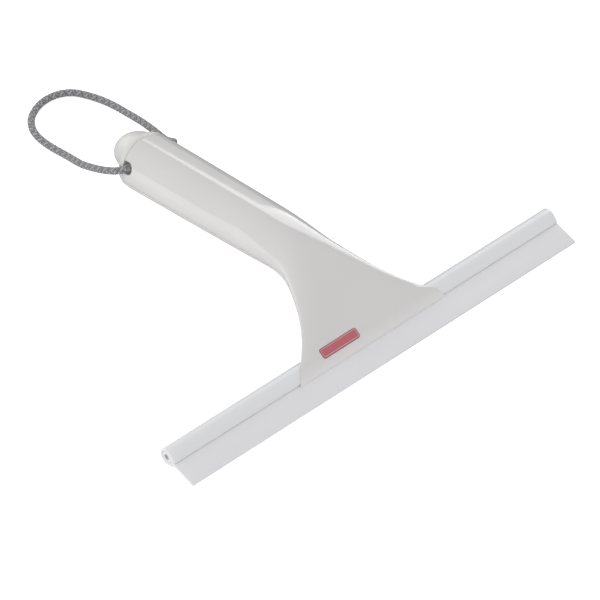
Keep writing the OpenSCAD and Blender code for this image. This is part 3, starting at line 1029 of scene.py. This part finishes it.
def moulded_plastic(name, colour, roughness, coat=0.0, peel=0.02, painted_front_light=None):
    """Injection-moulded plastic: a faint cloudiness in the colour, uneven gloss and a slight peel.
    painted_front_light is (y of the head's front edge, y where the lightening ends, gain): painted light, the
    colour made lighter towards the front edge."""
    n = Nodes(name)
    tint = np.array(colour)
    cloud = n.noise(26, 2, 0.4)
    base = n.ramp(cloud, [(0.35, tuple(tint * 0.985)), (0.65, tuple(np.minimum(1, tint * 1.012)))])
    # Painted light: the base colour is lightened towards the head's front edge, standing in for light that
    # falls there
    if painted_front_light:
        edge_y, light_end_y, light_gain = painted_front_light
        axes = n.tree.nodes.new("ShaderNodeSeparateXYZ")
        n.link(n.place, axes.inputs["Vector"])
        share = n.range(axes.outputs["Y"], 1, 0)
        share.node.inputs["From Min"].default_value = float(edge_y)
        share.node.inputs["From Max"].default_value = float(light_end_y)
        base = n.mix(share, base, (*(tint * light_gain), 1))
    n.link(base, n.shader.inputs["Base Color"])
    n.link(n.range(n.noise(340, 4, 0.6), roughness - 0.03, roughness + 0.04), n.shader.inputs["Roughness"])
    coarse = n.bump(n.noise(120, 1, 0.4), 0.0001, peel)
    n.link(n.bump(n.noise(2600, 2, 0.5), 0.00002, 0.15, coarse), n.shader.inputs["Normal"])
    n.set(IOR=1.5, Coat_Weight=coat, Coat_Roughness=0.06)
    return n.material


def extruded_plastic(name, colour, roughness):
    """Extruded profile: fine draw lines along X."""
    n = Nodes(name)
    tint = np.array(colour)
    lines = n.noise(1, 3, 0.6, n.scaled((3, 900, 900)))
    n.link(n.ramp(lines, [(0.3, tuple(tint * 0.98)), (0.7, tuple(np.minimum(1, tint * 1.01)))]),
           n.shader.inputs["Base Color"])
    n.link(n.range(lines, roughness - 0.04, roughness + 0.05), n.shader.inputs["Roughness"])
    n.link(n.bump(lines, 0.00003, 0.4), n.shader.inputs["Normal"])
    n.set(IOR=1.48)
    return n.material


def soft_rubber(name, colour):
    """Silicone rubber: matt, with a fine grain and faint handling marks."""
    n = Nodes(name)
    tint = np.array(colour)
    marks = n.noise(38, 4, 0.55, n.scaled((0.5, 2.2, 1)))
    n.link(n.ramp(marks, [(0.3, tuple(tint * 0.98)), (0.7, tuple(np.minimum(1, tint * 1.012)))]),
           n.shader.inputs["Base Color"])
    n.link(n.range(n.noise(520, 3, 0.6), 0.46, 0.56), n.shader.inputs["Roughness"])
    n.link(n.bump(n.noise(3200, 3, 0.6), 0.00002, 0.3), n.shader.inputs["Normal"])
    n.set(IOR=1.41)
    return n.material


def braided_yarn(name):
    """Grey yarns, some lighter, with painted shade in the gaps between them and painted light on their
    crowns, and fibres along each yarn.
    """
    n = Nodes(name)
    attribute = n.tree.nodes.new("ShaderNodeAttribute")
    attribute.attribute_name = "yarn"
    split = n.tree.nodes.new("ShaderNodeSeparateColor")
    n.link(attribute.outputs["Color"], split.inputs["Color"])
    light, mid, dark = (0.54, 0.54, 0.55), (0.3, 0.3, 0.315), (0.165, 0.165, 0.178)
    order = [light, dark, mid, dark, light, mid, dark, mid] * 2
    yarn = n.ramp(split.outputs["Red"], [(i / len(order), shade) for i, shade in enumerate(order)])
    yarn.node.color_ramp.interpolation = "CONSTANT"
    # Painted shade and light: the relief darkens the colour down in the gaps and lightens it on the yarns'
    # crowns
    gap_shade, middle, high = (0.32, 0.32, 0.34), (0.85, 0.85, 0.85), (1.15, 1.15, 1.15)
    depth = n.ramp(split.outputs["Green"], [(0.0, gap_shade), (0.5, middle), (1.0, high)])
    shaded = n.mix(1.0, yarn, depth, "MULTIPLY")
    fibres = n.ramp(n.noise(2400, 3, 0.7), [(0.3, (0.82, 0.82, 0.82)), (0.7, (1.1, 1.1, 1.1))])
    n.link(n.mix(1.0, shaded, fibres, "MULTIPLY"), n.shader.inputs["Base Color"])
    n.link(n.bump(n.noise(3000, 2, 0.6), 0.00006, 0.5), n.shader.inputs["Normal"])
    n.set(Roughness=0.72, IOR=1.5, Sheen_Weight=0.25, Sheen_Roughness=0.4)
    return n.material


def plain_metal(name, colour, roughness):
    """Bare metal with a mottled surface."""
    n = Nodes(name)
    tint = np.array(colour)
    n.link(n.ramp(n.noise(700, 4, 0.7), [(0.3, tuple(tint * 0.88)), (0.7, tuple(tint))]),
           n.shader.inputs["Base Color"])
    n.link(n.range(n.noise(1500, 3, 0.6), roughness - 0.06, roughness + 0.08), n.shader.inputs["Roughness"])
    n.set(Metallic=1.0)
    return n.material


def enamel(name, rim, groove, field):
    """The badge: gloss enamel with a red rim, a paler groove inside it and a rose field."""
    n = Nodes(name)
    attribute = n.tree.nodes.new("ShaderNodeAttribute")
    attribute.attribute_name = "field"
    shade = n.ramp(
        attribute.outputs["Fac"], [(0.0, rim), (0.3, rim), (0.5, groove), (0.7, groove), (1.0, field)])
    mottle = n.ramp(n.noise(420, 3, 0.6), [(0.3, (0.88, 0.88, 0.88)), (0.7, (1, 1, 1))])
    n.link(n.mix(1.0, shade, mottle, "MULTIPLY"), n.shader.inputs["Base Color"])
    n.link(n.range(n.noise(900, 2, 0.5), 0.3, 0.4), n.shader.inputs["Roughness"])
    n.set(IOR=1.5, Coat_Weight=0.4, Coat_Roughness=0.1)
    return n.material


# Painted light: how far back from the head's front edge the shell's colour is lightened
PAINTED_LIGHT_LEN = 4
SHELL = moulded_plastic(
    "shell_plastic", (0.705, 0.693, 0.69), 0.13, coat=0.5,
    painted_front_light=(to_frame((0, HEAD_START, 0))[1], to_frame((0, HEAD_START + PAINTED_LIGHT_LEN, 0))[1], 1.13),
)
CAP = moulded_plastic("cap_plastic", (0.7, 0.695, 0.672), 0.42, peel=0.04)
CHANNEL = extruded_plastic("channel_plastic", (0.81, 0.815, 0.835), 0.36)
RUBBER = soft_rubber("blade_rubber", (0.81, 0.805, 0.825))
BADGE = enamel("badge_enamel", (0.4, 0.04, 0.055), (0.62, 0.42, 0.42), (0.55, 0.12, 0.15))
CORD = braided_yarn("cord_braid")
STEEL = plain_metal("screw_steel", (0.6, 0.6, 0.61), 0.32)
ALUMINIUM = plain_metal("ferrule_aluminium", (0.72, 0.72, 0.73), 0.4)


def dress(piece, body, material, slot, *nodes):
    """Gives a piece its finish, its body and the CAD nodes that it stands for."""
    piece.data.materials.clear()
    piece.data.materials.append(material)
    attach(piece, body)
    if nodes:
        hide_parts(*nodes)
    return piece


# ---- Build ----

cord, cord_path = cord_piece()
dress(cord, "cord", CORD, "cord", "hang_cord")

dress(front_shell_piece(), "root", SHELL, "shell", "front_shell")
dress(rear_shell_piece(), "root", SHELL, "shell", "rear_shell")
dress(channel_piece(), "root", CHANNEL, "channel", "blade_channel")
dress(rubber_piece(), "blade", RUBBER, "rubber", "rubber_blade")
dress(badge_piece(), "root", BADGE, "badge", "badge")
dress(end_cap_piece(), "cap", CAP, "cap", "end_cap")
for number, screw in enumerate(SCREWS, 1):
    dress(screw_piece(number, *screw), "root", STEEL, "screws", "shell_screws")

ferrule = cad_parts["cord_ferrule"]
ferrule.data.materials.clear()
ferrule.data.materials.append(ALUMINIUM)

# ---- Stage ----

FLOOR_SIZE = 6.0
HANDLE_AIM = Vector(to_frame((0, 110, 20)))
LIGHT_DISTANCE = 1.6
WORLD_STRENGTH = 0.74

# What the gloss sees of the floor goes from LIT, left of the handle, to SHADED, right of it
LIT_X, SHADED_X = -0.06, 0.05
LIT, SHADED = 0.9, 0.4
# Painted light: left of the handle the paper glows for gloss rays alone, fading out GLOW_ENDS of the way
# across, which puts a painted reflection on the shells
LEFT_GLOW, GLOW_ENDS = 0.9, 0.6
# The camera sees the paper brighter, so that it's white as in the photo
CAMERA_GLOW = 0.7


def add_floor():
    """White paper, which the gloss sees darker to the right of the handle, as if in its shade."""
    mesh = bpy.data.meshes.new("floor")
    h = FLOOR_SIZE / 2
    mesh.from_pydata([(-h, -h, 0), (h, -h, 0), (h, h, 0), (-h, h, 0)], [], [(0, 1, 2, 3)])
    floor = bpy.data.objects.new("floor", mesh)
    bpy.context.scene.collection.objects.link(floor)
    n = Nodes("floor_paper")
    rays = n.tree.nodes.new("ShaderNodeLightPath")
    axes = n.tree.nodes.new("ShaderNodeSeparateXYZ")
    n.link(n.place, axes.inputs["Vector"])
    across = n.tree.nodes.new("ShaderNodeMapRange")
    across.inputs["From Min"].default_value = LIT_X
    across.inputs["From Max"].default_value = SHADED_X
    n.link(axes.outputs["X"], across.inputs["Value"])
    shade = n.ramp(across.outputs["Result"], [(0.0, (LIT,) * 3), (1.0, (SHADED,) * 3)])
    paper = n.mix(rays.outputs["Is Glossy Ray"], (LIT, LIT, LIT, 1), shade)
    n.link(paper, n.shader.inputs["Base Color"])
    # Painted reflection: the glow that only the gloss sees
    glow = n.ramp(across.outputs["Result"], [(0.0, (LEFT_GLOW,) * 3), (GLOW_ENDS, (0, 0, 0))])
    seen = n.mix(rays.outputs["Is Glossy Ray"], (0, 0, 0, 1), glow)
    seen = n.mix(rays.outputs["Is Camera Ray"], seen, (CAMERA_GLOW, CAMERA_GLOW, CAMERA_GLOW, 1))
    n.link(seen, n.shader.inputs["Emission Color"])
    n.set(Roughness=0.9, Emission_Strength=1.0)
    n.shader.inputs["Specular IOR Level"].default_value = 0.0
    mesh.materials.append(n.material)


def add_area(name, direction, size, power):
    """A softbox along direction from the handle, facing it; its own reflection is left out."""
    data = bpy.data.lights.new(name, "AREA")
    data.shape = "RECTANGLE"
    data.size, data.size_y = size
    data.energy = power
    lamp = bpy.data.objects.new(name, data)
    away = Vector(direction).normalized()
    lamp.location = HANDLE_AIM + away * LIGHT_DISTANCE
    lamp.rotation_euler = away.to_track_quat("Z", "Y").to_euler()
    lamp.visible_glossy = False
    bpy.context.scene.collection.objects.link(lamp)


def add_gloss_card(name, corners, strength):
    """A glowing card that only the gloss sees; corners are (azimuth from +X, elevation) in degrees."""
    points = []
    for azimuth, elevation in corners:
        a, e = math.radians(azimuth), math.radians(elevation)
        away = Vector((math.cos(a) * math.cos(e), math.sin(a) * math.cos(e), math.sin(e)))
        points.append(tuple(HANDLE_AIM + away * LIGHT_DISTANCE))
    mesh = bpy.data.meshes.new(name)
    mesh.from_pydata(points, [], [tuple(range(len(points)))])
    card = bpy.data.objects.new(name, mesh)
    bpy.context.scene.collection.objects.link(card)
    n = Nodes(name)
    n.set(Base_Color=(0, 0, 0, 1), Emission_Color=(1, 1, 1, 1), Emission_Strength=strength)
    mesh.materials.append(n.material)
    card.visible_camera = False
    card.visible_diffuse = False
    card.visible_shadow = False


RIGHT_CARD = [(58, 50), (38, 52), (3, 42), (-4, 3), (33, 3), (49, 28), (66, 34)]
BACK_CARD = [(110, 22), (68, 22), (68, 1), (110, 1)]

add_floor()
add_area("left_softbox", (-0.93, 0.19, 0.33), (1.3, 1.3), 6.5)
add_area("front_fill", (0, -1, 0.25), (1.3, 1.0), 1.6)
add_gloss_card("right_card", RIGHT_CARD, 3.0)
add_gloss_card("back_card", BACK_CARD, 3.5)

world = bpy.data.worlds.new("studio")
world.use_nodes = True
world.node_tree.nodes["Background"].inputs["Color"].default_value = (1, 1, 1, 1)
world.node_tree.nodes["Background"].inputs["Strength"].default_value = WORLD_STRENGTH
bpy.context.scene.world = world
bpy.context.scene.view_settings.view_transform = "Standard"
